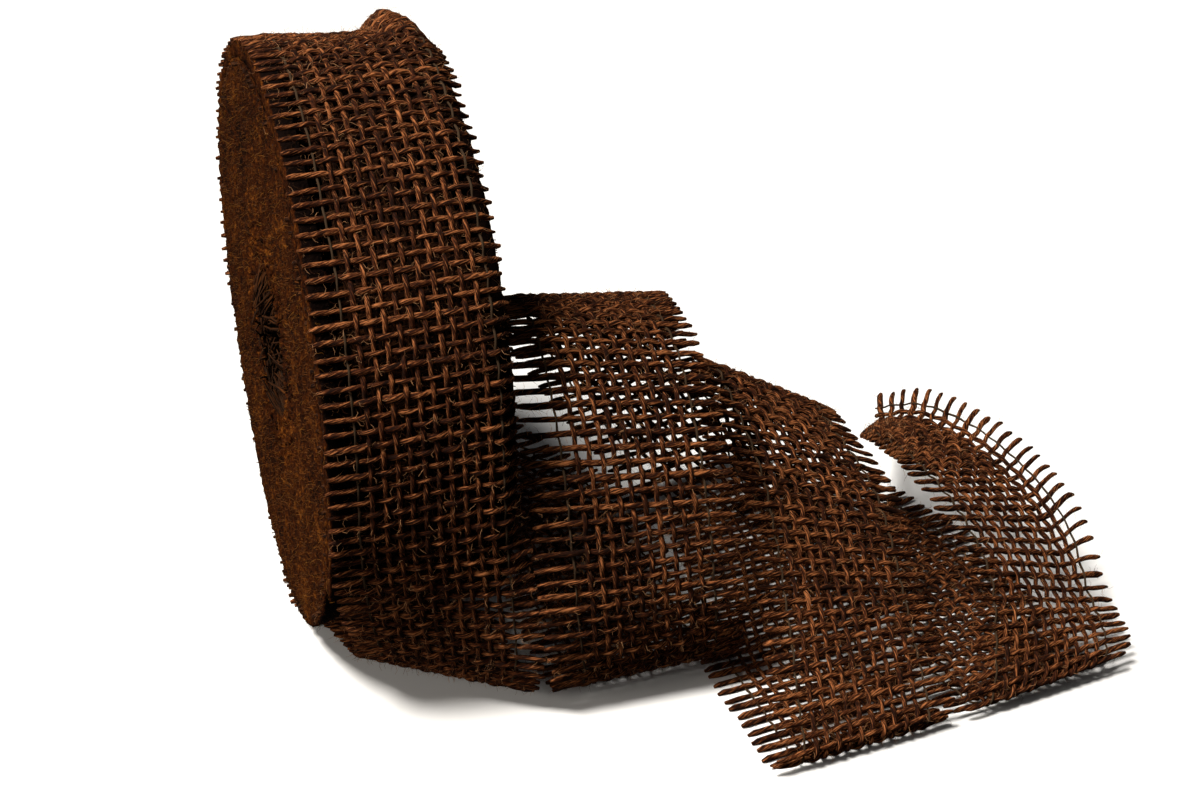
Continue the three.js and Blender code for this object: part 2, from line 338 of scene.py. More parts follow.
def grid_normals(points):
    """Unit normals of a grid of points, from its own slopes along and across."""
    along = np.gradient(points, axis=0)
    across = np.gradient(points, axis=1)
    normals = np.cross(across, along)
    return normals / np.linalg.norm(normals, axis=2, keepdims=True)


def guide_from_grid(name, points):
    """A grid mesh in metres, with the flat map guide_uv and the directions guide_normal."""
    rows, columns = points.shape[:2]
    index = np.arange(rows * columns).reshape(rows, columns)
    faces = np.stack([index[:-1, :-1], index[:-1, 1:], index[1:, 1:], index[1:, :-1]], -1).reshape(-1, 4)
    mesh = bpy.data.meshes.new(name)
    mesh.from_pydata(points.reshape(-1, 3).tolist(), [], faces.tolist())
    flat = np.zeros((rows, columns, 2), np.float32)
    flat[..., 0] = np.linspace(0, 1, columns)[None, :]
    flat[..., 1] = np.linspace(0, 1, rows)[:, None]
    corner = np.zeros(len(mesh.loops), np.int32)
    mesh.loops.foreach_get("vertex_index", corner)
    flat_map = mesh.attributes.new("guide_uv", "FLOAT2", "CORNER")
    flat_map.data.foreach_set("vector", flat.reshape(-1, 2)[corner].ravel())
    facing = mesh.attributes.new("guide_normal", "FLOAT_VECTOR", "POINT")
    facing.data.foreach_set("vector", grid_normals(points).reshape(-1).astype(np.float32))
    guide = bpy.data.objects.new(name, mesh)
    bpy.context.scene.collection.objects.link(guide)
    return guide


def loose_guide():
    places = place_at(np.linspace(0, LOOSE_LENGTH, int(LOOSE_LENGTH / GUIDE_STEP)))
    offsets = np.linspace(-HALF_WIDTH, HALF_WIDTH, GUIDE_COLUMNS) / MM
    middle = through(middles, places)
    width = through(widthways, places)
    width /= np.linalg.norm(width, axis=1, keepdims=True)
    points = middle[:, None, :] + width[:, None, :] * offsets[None, :, None]
    points = slack_shape(places, offsets, points)
    points[..., 2] = np.maximum(points[..., 2], HALF_CLOTH / MM)
    return guide_from_grid("loose_guide", points * MM)


guide = loose_guide()
print("guide grid:", len(guide.data.vertices), "points")

# %% [markdown]
# ## A short way to wire nodes
# Every yarn, tuft and fibre below comes out of a node tree, and so does every finish. Node trees
# are long to write out, so this small helper adds a node, fills its inputs with plain values or
# with other nodes' outputs, and keeps the arithmetic readable.


# %% Wiring
class Wiring:
    """Adds nodes to one node tree, and links or fills their inputs."""

    def __init__(self, tree):
        self.tree = tree

    def add(self, kind, inputs=None, **settings):
        node = self.tree.nodes.new(kind)
        for key, value in settings.items():
            setattr(node, key, value)
        for key, value in (inputs or {}).items():
            self.fill(node.inputs[key], value)
        return node

    def fill(self, socket, value):
        if isinstance(value, bpy.types.NodeSocket):
            self.tree.links.new(value, socket)
        else:
            socket.default_value = value

    def math(self, operation, a, b=0.0, c=0.0):
        return self.add("ShaderNodeMath", {0: a, 1: b, 2: c}, operation=operation).outputs[0]

    def times(self, a, b):
        return self.math("MULTIPLY", a, b)

    def plus(self, a, b):
        return self.math("ADD", a, b)

    def minus(self, a, b):
        return self.math("SUBTRACT", a, b)

    def over(self, a, b):
        return self.math("DIVIDE", a, b)

    def vector(self, operation, a, b):
        return self.add("ShaderNodeVectorMath", {0: a, 1: b}, operation=operation).outputs[0]

    def xyz(self, x=0.0, y=0.0, z=0.0):
        return self.add("ShaderNodeCombineXYZ", {"X": x, "Y": y, "Z": z}).outputs[0]

    def parts(self, vector):
        """The x, y and z of a vector."""
        return self.add("ShaderNodeSeparateXYZ", {0: vector}).outputs

    def position(self):
        return self.add("GeometryNodeInputPosition").outputs[0]

    def index(self):
        return self.add("GeometryNodeInputIndex").outputs[0]

    def store(self, geometry, name, value, kind="FLOAT", domain="POINT"):
        """The geometry with one more named attribute."""
        inputs = {"Geometry": geometry, "Name": name, "Value": value}
        settings = {"data_type": kind, "domain": domain}
        return self.add("GeometryNodeStoreNamedAttribute", inputs, **settings).outputs[0]

    def noise(self, place, scale, detail=2.0):
        """Smooth noise from about -0.5 to 0.5."""
        inputs = {"Vector": place, "Scale": scale, "Detail": detail}
        return self.minus(self.add("ShaderNodeTexNoise", inputs).outputs[0], 0.5)

    def ramp(self, value, low, high):
        """A smooth step from 0 at low to 1 at high."""
        inputs = {0: value, 1: low, 2: high, 3: 0.0, 4: 1.0}
        return self.add("ShaderNodeMapRange", inputs, interpolation_type="SMOOTHSTEP").outputs[0]


def new_geometry_tree(name, sockets):
    """A Geometry Nodes tree with named inputs. sockets holds (name, kind, default)."""
    tree = bpy.data.node_groups.new(name, "GeometryNodeTree")
    tree.interface.new_socket(name="Geometry", in_out="INPUT", socket_type="NodeSocketGeometry")
    for label, kind, default in sockets:
        socket = tree.interface.new_socket(name=label, in_out="INPUT", socket_type="NodeSocket" + kind)
        if default is not None:
            socket.default_value = default
    tree.interface.new_socket(name="Geometry", in_out="OUTPUT", socket_type="NodeSocketGeometry")
    wiring = Wiring(tree)
    return wiring, tree.nodes.new("NodeGroupInput").outputs, tree.nodes.new("NodeGroupOutput").inputs[0]


def run_tree(tree, name, source, values):
    """Runs a tree on an object's mesh with the given input values, and keeps the result as a plain mesh."""
    modifier = source.modifiers.new("nodes", "NODES")
    modifier.node_group = tree
    for item in tree.interface.items_tree:
        if item.in_out == "INPUT" and item.name in values:
            modifier[item.identifier] = values[item.name]
    source.update_tag()
    evaluated = source.evaluated_get(bpy.context.evaluated_depsgraph_get())
    mesh = bpy.data.meshes.new_from_object(evaluated)
    source.modifiers.remove(modifier)
    mesh.name = name
    made = bpy.data.objects.new(name, mesh)
    bpy.context.scene.collection.objects.link(made)
    return made


def triangle_count(made):
    made.data.calc_loop_triangles()
    return len(made.data.loop_triangles)


# %% [markdown]
# ## The loom
# The cloth could be one sheet with a weave painted on it, but then no light would pass through
# its cells and its edge would be a cut line. So the loom makes real yarns. It sets out every
# pick and every warp end as a straight line on the flat ribbon, bends each one over and under
# its neighbours with a cosine, lets it wander a little, and then lays it on the guide. A six
# sided section is swept along it, thick and thin in slow waves, as unevenly spun jute is.

# %% Laying yarns on the guide
YARN_SIDES = 6


def swept_yarns(w, g, curves, across, along, height, radius, tone, run):
    """Lays flat curves on the guide and sweeps them: places, heights and radii are fields."""
    guide_info = w.add("GeometryNodeObjectInfo", {"Object": g["Guide"]}).outputs["Geometry"]
    flat_map = w.add("GeometryNodeInputNamedAttribute", {"Name": "guide_uv"}, data_type="FLOAT_VECTOR")
    facing = w.add("GeometryNodeInputNamedAttribute", {"Name": "guide_normal"}, data_type="FLOAT_VECTOR")
    spot = w.xyz(
        w.plus(w.over(across, RIBBON_WIDTH), 0.5),
        w.over(along, g["Guide Length"]),
    )

    def sampled(field):
        inputs = {"Mesh": guide_info, "Value": field, "UV Map": flat_map.outputs[0], "Sample UV": spot}
        return w.add("GeometryNodeSampleUVSurface", inputs, data_type="FLOAT_VECTOR").outputs[0]

    surface = sampled(w.position())
    away = w.add("ShaderNodeVectorMath", {0: sampled(facing.outputs[0])}, operation="NORMALIZE").outputs[0]
    rise = w.add("ShaderNodeVectorMath", {0: away, "Scale": height}, operation="SCALE").outputs[0]
    lifted = w.vector("ADD", surface, rise)
    parts = w.parts(lifted)
    above_table = w.xyz(parts[0], parts[1], w.math("MAXIMUM", parts[2], radius))
    marked = w.store(w.store(w.store(curves, "yarn_radius", radius), "tone", tone), "along", run)
    placed = w.add("GeometryNodeSetPosition", {"Geometry": marked, "Position": above_table}).outputs[0]
    circle = w.add("GeometryNodeCurvePrimitiveCircle", {"Resolution": YARN_SIDES, "Radius": 1.0}).outputs[0]
    section = w.store(circle, "around", w.position(), kind="FLOAT_VECTOR")
    stored = w.add("GeometryNodeInputNamedAttribute", {"Name": "yarn_radius"}, data_type="FLOAT").outputs[0]
    inputs = {"Curve": placed, "Profile Curve": section, "Scale": stored, "Fill Caps": True}
    return w.add("GeometryNodeCurveToMesh", inputs).outputs[0]


def copies_of_line(w, count, place, start, end, steps):
    """A straight line of points, copied to a row of places as real curves."""
    line = w.add("GeometryNodeCurvePrimitiveLine", {"Start": start, "End": end}).outputs[0]
    fine = w.add("GeometryNodeResampleCurve", {"Curve": line, "Count": steps}).outputs[0]
    spots = w.add("GeometryNodePoints", {"Count": count, "Position": place}).outputs[0]
    copies = w.add("GeometryNodeInstanceOnPoints", {"Points": spots, "Instance": fine}).outputs[0]
    real = w.add("GeometryNodeRealizeInstances", {"Geometry": copies}).outputs[0]
    place = w.parts(w.position())
    return real, place[0], place[1]


def chance(w, low, high, item, seed):
    """A number from low to high, the same for each whole number item."""
    inputs = {2: low, 3: high, "ID": item, "Seed": seed}
    return w.add("FunctionNodeRandomValue", inputs, data_type="FLOAT").outputs[1]


# %% The weft picks
CRIMP_WEFT = 0.36 * MM
CRIMP_WARP = 0.42 * MM


def weft_picks(w, g):
    """The picks: over one warp end and under the next, and free beyond the last one."""
    index = w.index()
    first = w.times(w.plus(w.plus(index, g["First Pick"]), 0.5), WEFT_PITCH)
    curves, x, y = copies_of_line(
        w, g["Picks"], w.xyz(0.0, first, 0.0), (-HALF_WIDTH, 0, 0), (HALF_WIDTH, 0, 0), g["Steps Across"])
    pick = w.math("FLOOR", w.over(y, WEFT_PITCH))
    side = w.math("GREATER_THAN", x, 0.0)
    trim = chance(w, 0.0, g["Uneven Ends"], w.plus(w.times(pick, 2.0), side), g["Seed"])
    across = w.times(x, w.minus(1.0, trim))
    from_middle = w.math("ABSOLUTE", x)
    beyond = w.ramp(from_middle, WOVEN_HALF, HALF_WIDTH)
    drift = w.noise(w.xyz(w.times(x, 70.0), w.times(pick, 3.7), g["Seed"]), 1.0)
    sway = w.times(w.times(drift, g["Wander"]), w.plus(1.0, w.times(beyond, 1.6)))
    crossing = w.plus(w.over(x, WARP_PITCH), w.plus(pick, MIDDLE_END))
    swing = w.math("COSINE", w.times(crossing, math.pi))
    settled = w.minus(1.0, w.times(w.ramp(from_middle, WOVEN_HALF, WOVEN_HALF + 2 * MM), 0.85))
    height = w.times(w.times(swing, CRIMP_WEFT), settled)
    flutter = w.noise(w.xyz(w.times(x, 60.0), w.times(pick, 5.3), w.plus(g["Seed"], 9.0)), 1.0)
    height = w.plus(height, w.times(w.times(flutter, beyond), 2.4 * MM))
    slub = w.noise(w.xyz(w.times(x, 90.0), w.times(pick, 7.9), w.plus(g["Seed"], 4.0)), 1.0)
    tip = w.minus(1.0, w.times(w.ramp(from_middle, HALF_WIDTH - 1.6 * MM, HALF_WIDTH), 0.45))
    radius = w.times(w.times(w.plus(1.0, w.times(slub, g["Slub"])), tip), WEFT_THICKNESS / 2)
    radius = w.times(radius, chance(w, 0.82, 1.15, pick, w.plus(g["Seed"], 3.0)))
    tone = chance(w, 0.25, 1.0, pick, w.plus(g["Seed"], 1.0))
    run = w.plus(x, w.times(pick, 0.137))
    return swept_yarns(w, g, curves, across, w.plus(y, sway), height, radius, tone, run)


# %% The warp ends
def warp_ends(w, g):
    """The warp ends. The outermost two are thin pale threads, marked by a tone below zero."""
    index = w.index()
    sideways = w.times(w.minus(index, MIDDLE_END), WARP_PITCH)
    start, end = w.xyz(0.0, g["From"], 0.0), w.xyz(0.0, g["To"], 0.0)
    curves, x, y = copies_of_line(w, WARP_ENDS, w.xyz(sideways, 0.0, 0.0), start, end, g["Steps Along"])
    end_number = w.math("ROUND", w.plus(w.over(x, WARP_PITCH), MIDDLE_END))
    drift = w.noise(w.xyz(w.times(y, 60.0), w.times(end_number, 4.1), g["Seed"]), 1.0)
    across = w.plus(x, w.times(drift, g["Wander"]))
    picks_along = w.minus(w.over(y, WEFT_PITCH), 0.5)
    swing = w.math("COSINE", w.times(w.plus(picks_along, end_number), math.pi))
    height = w.times(swing, -CRIMP_WARP)
    slub = w.noise(w.xyz(w.times(y, 110.0), w.times(end_number, 6.7), w.plus(g["Seed"], 4.0)), 1.0)
    outermost = w.math("GREATER_THAN", w.math("ABSOLUTE", x), WOVEN_HALF - WARP_PITCH / 2)
    thin = w.minus(1.0, w.times(outermost, 0.55))
    radius = w.times(w.times(w.plus(1.0, w.times(slub, g["Slub"])), thin), WARP_THICKNESS / 2)
    own_tone = chance(w, 0.2, 0.9, end_number, w.plus(g["Seed"], 2.0))
    tone = w.minus(own_tone, w.times(outermost, 2.0))
    run = w.plus(y, w.times(end_number, 0.211))
    return swept_yarns(w, g, curves, across, y, height, radius, tone, run)


# %% The whole loom
def make_loom():
    sockets = [
        ("Guide", "Object", None), ("Guide Length", "Float", 1.0), ("First Pick", "Int", 0),
        ("Picks", "Int", 10), ("From", "Float", 0.0), ("To", "Float", 0.1),
        ("Steps Across", "Int", 64), ("Steps Along", "Int", 100), ("Uneven Ends", "Float", 0.04),
        ("Wander", "Float", 0.0009), ("Slub", "Float", 0.9), ("Seed", "Int", 1),
        ("Material", "Material", None),
    ]
    w, g, result = new_geometry_tree("loom", sockets)
    cloth = w.add("GeometryNodeJoinGeometry")
    w.fill(cloth.inputs[0], weft_picks(w, g))
    w.fill(cloth.inputs[0], warp_ends(w, g))
    rounded = w.add("GeometryNodeSetShadeSmooth", {"Geometry": cloth.outputs[0]}).outputs[0]
    real = w.add("GeometryNodeRealizeInstances", {"Geometry": rounded}).outputs[0]
    w.fill(result, w.add("GeometryNodeSetMaterial", {"Geometry": real, "Material": g["Material"]}).outputs[0])
    return w.tree


loom = make_loom()
print("loom:", len(loom.nodes), "nodes")

# %% [markdown]
# ## Jute finish
# Jute yarn is a loose twist of flat, shiny fibres. Each yarn carries three numbers for its
# finish: how far along the yarn a point is, where it is round the yarn, and the yarn's own tone.
# Turning the round-the-yarn direction as it goes along gives the twist, and noise stretched along
# that twist gives the fibres. One shader group makes them for every material of the roll.


# %% Fibre group
def new_shader_group(name, inputs, outputs):
    tree = bpy.data.node_groups.new(name, "ShaderNodeTree")
    for label, kind in inputs:
        tree.interface.new_socket(name=label, in_out="INPUT", socket_type="NodeSocket" + kind)
    for label, kind in outputs:
        tree.interface.new_socket(name=label, in_out="OUTPUT", socket_type="NodeSocket" + kind)
    wiring = Wiring(tree)
    return wiring, tree.nodes.new("NodeGroupInput").outputs, tree.nodes.new("NodeGroupOutput").inputs


def colour_mix(w, share, a, b):
    node = w.add("ShaderNodeMix", {0: share, 6: a, 7: b}, data_type="RGBA")
    return node.outputs[2]


def make_fibre_group():
    w, g, out = new_shader_group(
        "jute fibres",
        [("Along", "Float"), ("Around", "Vector"), ("Tone", "Float"), ("Place", "Vector"),
         ("Twist Length", "Float"), ("Shadow Colour", "Color"), ("Body Colour", "Color"),
         ("Light Colour", "Color"), ("Selvedge Colour", "Color")],
        [("Colour", "Color"), ("Height", "Float"), ("Roughness", "Float")])
    turn = w.over(w.times(g["Along"], 2 * math.pi), g["Twist Length"])
    twisted = w.add("ShaderNodeVectorRotate", {"Vector": g["Around"], "Angle": turn}, rotation_type="Z_AXIS")
    sides = w.parts(twisted.outputs[0])
    strand = w.xyz(w.times(sides[0], 2.9), w.times(sides[1], 2.9), w.times(g["Along"], 330.0))
    fibres = w.noise(strand, 1.0, 3.0)
    plies = w.math("ABSOLUTE", sides[0])
    patches = w.noise(g["Place"], 95.0, 2.0)
    yarn_tone = w.times(w.minus(g["Tone"], 0.6), 0.5)
    warm = w.plus(w.plus(w.times(fibres, 4.6), 0.36), w.plus(w.times(patches, 0.8), yarn_tone))
    body = colour_mix(w, w.ramp(warm, 0.0, 0.55), g["Shadow Colour"], g["Body Colour"])
    lit = colour_mix(w, w.ramp(warm, 0.5, 1.15), body, g["Light Colour"])
    w.fill(out["Colour"], colour_mix(w, w.math("LESS_THAN", g["Tone"], 0.0), lit, g["Selvedge Colour"]))
    w.fill(out["Height"], w.plus(w.times(fibres, 0.9), w.times(plies, 0.5)))
    w.fill(out["Roughness"], w.minus(0.82, w.times(fibres, 0.35)))
    return w.tree


fibre_group = make_fibre_group()


# %% Jute materials
TWIST_LENGTH = 13 * MM
SELVEDGE_COLOUR = (0.04, 0.024, 0.013, 1.0)


def new_material(name):
    """An empty material, its wiring and its one shader."""
    material = bpy.data.materials.new(name)
    material.use_nodes = True
    return material, Wiring(material.node_tree), material.node_tree.nodes["Principled BSDF"]


def jute_material(name, shadow, body, light, bump=0.7):
    material, w, shader = new_material(name)
    along = w.add("ShaderNodeAttribute", attribute_name="along").outputs["Fac"]
    around = w.add("ShaderNodeAttribute", attribute_name="around").outputs["Vector"]
    tone = w.add("ShaderNodeAttribute", attribute_name="tone").outputs["Fac"]
    place = w.add("ShaderNodeTexCoord").outputs["Object"]
    inputs = {
        "Along": along, "Around": around, "Tone": tone, "Place": place, "Twist Length": TWIST_LENGTH,
        "Shadow Colour": shadow, "Body Colour": body, "Light Colour": light,
        "Selvedge Colour": SELVEDGE_COLOUR,
    }
    group = w.tree.nodes.new("ShaderNodeGroup")
    group.node_tree = fibre_group
    for key, value in inputs.items():
        w.fill(group.inputs[key], value)
    height = group.outputs["Height"]
    lumps = w.add("ShaderNodeBump", {"Height": height, "Distance": 0.25 * MM, "Strength": bump})
    w.fill(shader.inputs["Base Color"], group.outputs["Colour"])
    w.fill(shader.inputs["Roughness"], group.outputs["Roughness"])
    w.fill(shader.inputs["Normal"], lumps.outputs[0])
    shader.inputs["Specular IOR Level"].default_value = 0.08
    shader.inputs["Sheen Weight"].default_value = 0.02
    shader.inputs["Sheen Roughness"].default_value = 0.5
    shader.inputs["Sheen Tint"].default_value = (1.0, 0.62, 0.36, 1.0)
    return material


JUTE_SHADOW = (0.007, 0.0017, 0.0006, 1.0)
JUTE_BODY = (0.055, 0.0125, 0.0026, 1.0)
JUTE_LIGHT = (0.34, 0.12, 0.04, 1.0)
jute = jute_material("jute_yarn", JUTE_SHADOW, JUTE_BODY, JUTE_LIGHT)
print("jute finish:", len(jute.node_tree.nodes), "nodes")

# %% [markdown]
# ## Weaving the loose ribbon
# The loose part is woven in three lengths, so that each stays light enough to handle: the slack
# outermost turn, the high loop, and the second loop with the last curl. They share one guide and
# one count of picks, so the weave runs on from one to the next without a step. A cloth simulation
# could drape them instead. The listed route was chosen because it puts each curl in its place.

# %% The three lengths
STEP_ALONG = 0.85 * MM
SECTION_NODES = {
    "outer_turn": ["wrap_under_roll", "wrap_slack_fold", "wrap_front_lower", "wrap_front_upper",
                   "wrap_top_front", "wrap_top_back", "wrap_back_upper", "wrap_back_lower"],
    "high_loop": ["lead_off_slope", "lead_off_floor", "high_loop_foot", "high_loop_front",
                  "high_loop_crest", "high_loop_back", "high_loop_landing"],
    "second_loop_and_curl": ["second_floor_run", "second_loop_fold", "second_loop_front",
                             "second_loop_crest", "second_loop_back", "third_floor_run", "last_curl_fold",
                             "last_curl_front", "last_curl_crest", "cut_end"],
}
SECTION_PLACES = {"outer_turn": (0, 25), "high_loop": (25, 43), "second_loop_and_curl": (43, 69)}
LAST_PICK = int(LOOSE_LENGTH / WEFT_PITCH)


def weave(name, guide, guide_length, first_pick, end_pick, seed, yarn, steps_across=62,
          step_along=STEP_ALONG):
    """Weaves one length of cloth from one pick to another. Gives the cloth and its flat length."""
    start, end = first_pick * WEFT_PITCH, end_pick * WEFT_PITCH
    values = {
        "Guide": guide, "Guide Length": guide_length, "First Pick": first_pick,
        "Picks": end_pick - first_pick, "From": start, "To": end, "Steps Across": steps_across,
        "Steps Along": int((end - start) / step_along), "Seed": seed, "Material": yarn,
    }
    return run_tree(loom, name, carrier, values), end - start


carrier = bpy.data.objects.new("carrier", bpy.data.meshes.new("carrier"))
bpy.context.scene.collection.objects.link(carrier)
woven = {}
for name, (first_place, last_place) in SECTION_PLACES.items():
    first_pick = round(run_at(first_place) / WEFT_PITCH)
    end_pick = min(round(run_at(last_place) / WEFT_PITCH), LAST_PICK)
    woven[name] = weave(name, guide, LOOSE_LENGTH, first_pick, end_pick, 7, jute)
    print(name, f"{woven[name][1]:.3f} m,", triangle_count(woven[name][0]), "triangles")

# %% [markdown]
# ## The winding
# Thirty turns are packed on the core. Through the open cells of the slack turn only the next
# turn shows clearly, so that one is woven too, as a ring that turns with the core. Everything
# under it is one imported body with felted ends, because the fringes of so many turns mat together.

# %% The turn beneath


def ring_guide(name, inner, pitch):
    """A guide that goes once round the roll's axis, its radius growing by one pitch."""
    angles = np.linspace(0, 2 * math.pi, 420)
    offsets = np.linspace(-HALF_WIDTH, HALF_WIDTH, GUIDE_COLUMNS)
    radius = (inner + pitch * angles / (2 * math.pi))[:, None] + 0 * offsets[None, :]
    across = np.broadcast_to(offsets - 3.5 * MM * smooth(12, 25, offsets / MM), radius.shape)
    turn = angles - math.radians(165)
    y = radius * np.sin(turn)[:, None]
    z = radius * np.cos(turn)[:, None] + AXIS_HEIGHT
    return guide_from_grid(name, np.stack([across, y, z], -1))


LAYER_PITCH = 1.6 * MM
beneath_inner = WINDING_OUTER - LAYER_PITCH - 0.9 * MM
beneath_guide = ring_guide("beneath_guide", beneath_inner, LAYER_PITCH)
beneath_length = 2 * math.pi * (beneath_inner + LAYER_PITCH / 2)
beneath_picks = int(beneath_length / WEFT_PITCH)
# The turn beneath gets a darker copy of the jute finish: painted shade, as that turn lies in the slack turn's
# shadow.
shade_darkened_jute = jute_material("jute_yarn_wound", (0.004, 0.0011, 0.0004, 1.0), (0.022, 0.006, 0.0017, 1.0),
                           (0.09, 0.032, 0.01, 1.0))
turn_beneath, beneath_run = weave("turn_beneath", beneath_guide, beneath_length, 0, beneath_picks, 31,
                                  shade_darkened_jute, steps_across=48, step_along=1.1 * MM)
print("turn beneath:", triangle_count(turn_beneath), "triangles")

# %% [markdown]
# The imported body is a thick ring turned about the roll's axis. Its rim is a drum coloured nearly
# black as painted shade; it only shows through cells. Its two ends are the matted fringes of some
# thirty turns: flat on the left, and on the right pressed in toward the rim. They are lumpy, with a
# faint groove between one turn and the next, pits where the fringes part near the core, and a soft
# lip that leans in over the ends of the core. Thirty woven turns would come to nearly four million
# triangles, and most of each would be hidden.

# %% Shape of the imported turns' ends
PACK_OUTER = beneath_inner - 1.3 * MM
PACK_INNER = CORE_OUTER + 0.9 * MM
FACE_OUTER = WINDING_OUTER - 0.1 * MM
LIP_INNER = PACK_INNER - 5.5 * MM
LEFT_FACE = HALF_WIDTH - 1.0 * MM
# A made-up depth that the felt finish turns nearly black: painted shade on the winding's rim and on the back
# of the slack fringe.
PAINTED_SHADE_RELIEF = -2.5 * MM
ROUND_STEPS = 460


def end_place(side, radius):
    """How far out the left (-1) or right (+1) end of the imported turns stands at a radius."""
    if side < 0:
        return np.full_like(radius, LEFT_FACE)
    return HALF_WIDTH - (2.0 + 1.6 * smooth(36, 70, radius / MM)) * MM


def soft_noise(angles, radii, scale, seed):
    """Crossed waves in random directions, as a cheap smooth noise over an end of the roll."""
    random = np.random.default_rng(seed)
    y, z = radii * np.cos(angles), radii * np.sin(angles)
    total = np.zeros_like(y)
    for _ in range(18):
        heading, phase = random.uniform(0, 2 * math.pi, 2)
        waves = random.uniform(0.6, 1.8) / scale
        total += np.sin((y * math.cos(heading) + z * math.sin(heading)) * waves * 2 * math.pi + phase)
    return total / 6


def pack_profile():
    """The ring's outline as rows of x, radius and how strongly the surface is an end (-1, 0 or 1)."""
    left = np.linspace(LIP_INNER, FACE_OUTER, 62)
    right = np.linspace(FACE_OUTER, LIP_INNER, 50)
    rows = [(-x, r, -1) for x, r in zip(end_place(-1, left), left)]
    rows += [(-23.3 * MM, FACE_OUTER, 0), (-19 * MM, FACE_OUTER - 1 * MM, 0), (-18 * MM, PACK_OUTER, 0)]
    rows += [(18 * MM, PACK_OUTER, 0), (19 * MM, FACE_OUTER - 1 * MM, 0), (20.6 * MM, FACE_OUTER, 0)]
    rows += [(x, r, 1) for x, r in zip(end_place(1, right), right)]
    rows += [(22 * MM, LIP_INNER + 1 * MM, 0), (22 * MM, PACK_INNER, 0), (0.0, PACK_INNER, 0)]
    rows += [(-22 * MM, PACK_INNER, 0), (-22 * MM, LIP_INNER + 1 * MM, 0)]
    return np.array(rows)


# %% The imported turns
def ring_faces(rows, columns):
    """Faces of a grid that closes on itself both ways."""
    index = np.arange(rows * columns).reshape(rows, columns)
    after, beside = np.roll(index, -1, 0), np.roll(index, -1, 1)
    return np.stack([index, beside, np.roll(after, -1, 1), after], -1).reshape(-1, 4)


def end_relief(angles, radii):
    """Lumps, turn-by-turn grooves and pits of a felted end, in metres outward."""
    lumps = soft_noise(angles, radii, 6 * MM, 3) * 0.3 + soft_noise(angles, radii, 2.3 * MM, 5) * 0.25
    groove = np.cos(2 * math.pi * (radii / LAYER_PITCH - angles / (2 * math.pi)))
    parting = smooth(-0.05, 0.35, soft_noise(angles, radii, 2.9 * MM, 8))
    near_core = 1 - smooth(28, 35, radii / MM)
    return (lumps + groove * 0.12 - 2.4 * parting * near_core) * MM


def mesh_object(name, points, faces, relief):
    """A smooth mesh object that keeps its relief as an attribute; the finish paints light and shade from it.
    """
    mesh = bpy.data.meshes.new(name)
    mesh.from_pydata(points.reshape(-1, 3).tolist(), [], faces)
    mesh.shade_smooth()
    kept = mesh.attributes.new("relief", "FLOAT", "POINT")
    kept.data.foreach_set("value", relief.ravel().astype(np.float32))
    made = bpy.data.objects.new(name, mesh)
    bpy.context.scene.collection.objects.link(made)
    return made


def make_packed_turns():
    """The outline turned about the roll's axis, its ends raised and lowered by the relief."""
    profile = pack_profile()
    angles = np.linspace(0, 2 * math.pi, ROUND_STEPS, endpoint=False)
    radii = np.broadcast_to(profile[:, 1], (ROUND_STEPS, len(profile)))
    wide = np.broadcast_to(angles[:, None], radii.shape)
    relief = end_relief(wide, radii) * np.abs(profile[:, 2])
    x = profile[:, 0] + relief * profile[:, 2]
    points = np.stack([x, radii * np.sin(wide), radii * np.cos(wide) + AXIS_HEIGHT], -1)
    # the rim rows carry the made-up depth, so the finish paints them nearly black as shade
    shade = np.where(profile[:, 2] == 0, PAINTED_SHADE_RELIEF, relief)
    return mesh_object("packed_turns", points, ring_faces(ROUND_STEPS, len(profile)).tolist(), shade)


packed_turns = make_packed_turns()
print("packed turns:", triangle_count(packed_turns), "triangles")

# %% [markdown]
# The slack turn stands off the winding over the top, and its matted left-hand fringe hangs down
# over that gap. It is a thin crescent that stays with the slack turn when the roll is turned.


# %% Matted fringe of the slack turn
def slack_edge():
    """Angle from the top and radius, about the roll's axis, of the slack turn's left edge."""
    places = np.linspace(ROLL_FIRST, ROLL_LAST, 200)
    offsets = np.array([-23.0, -22.0])
    middle = through(middles, places)
    width = through(widthways, places)
    points = slack_shape(places, offsets, middle[:, None, :] + width[:, None, :] * offsets[None, :, None])
    y, z = points[:, 0, 1] * MM, points[:, 0, 2] * MM - AXIS_HEIGHT
    return np.unwrap(np.arctan2(y, z)), np.hypot(y, z)


def make_slack_fringe():
    """A thin ring sector between the winding's rim and the slack turn's left edge."""
    edge_angle, edge_radius = slack_edge()
    angles = np.linspace(math.radians(-118), math.radians(108), 420)
    outer = np.interp(angles, edge_angle, edge_radius) - 0.25 * MM
    inner = np.minimum(WINDING_OUTER, outer - 0.1 * MM)
    share = np.array([0, 0.34, 0.67, 1, 1, 1, 0])[None, :]
    depth = np.array([0, 0, 0, 0, 0.7, 4.5, 4.5])[None, :] * MM
    radii = inner[:, None] + (outer - inner)[:, None] * share
    wide = np.broadcast_to(angles[:, None], radii.shape)
    relief = end_relief(wide, radii)
    # the back columns carry the made-up depth, so the finish paints them nearly black as shade
    relief = np.where(depth == 0, relief, PAINTED_SHADE_RELIEF)
    x = np.where(depth == 0, -LEFT_FACE - relief, depth - LEFT_FACE)
    points = np.stack([x, radii * np.sin(wide), radii * np.cos(wide) + AXIS_HEIGHT], -1)
    rows, columns = points.shape[:2]
    faces = ring_faces(rows, columns)[:-columns][:, ::-1]
    index = np.arange(rows * columns).reshape(rows, columns)
    caps = [index[0].tolist(), index[-1, ::-1].tolist()]
    return mesh_object("slack_fringe", points, faces.tolist() + caps, relief)


slack_fringe = make_slack_fringe()
print("slack fringe:", triangle_count(slack_fringe), "triangles")
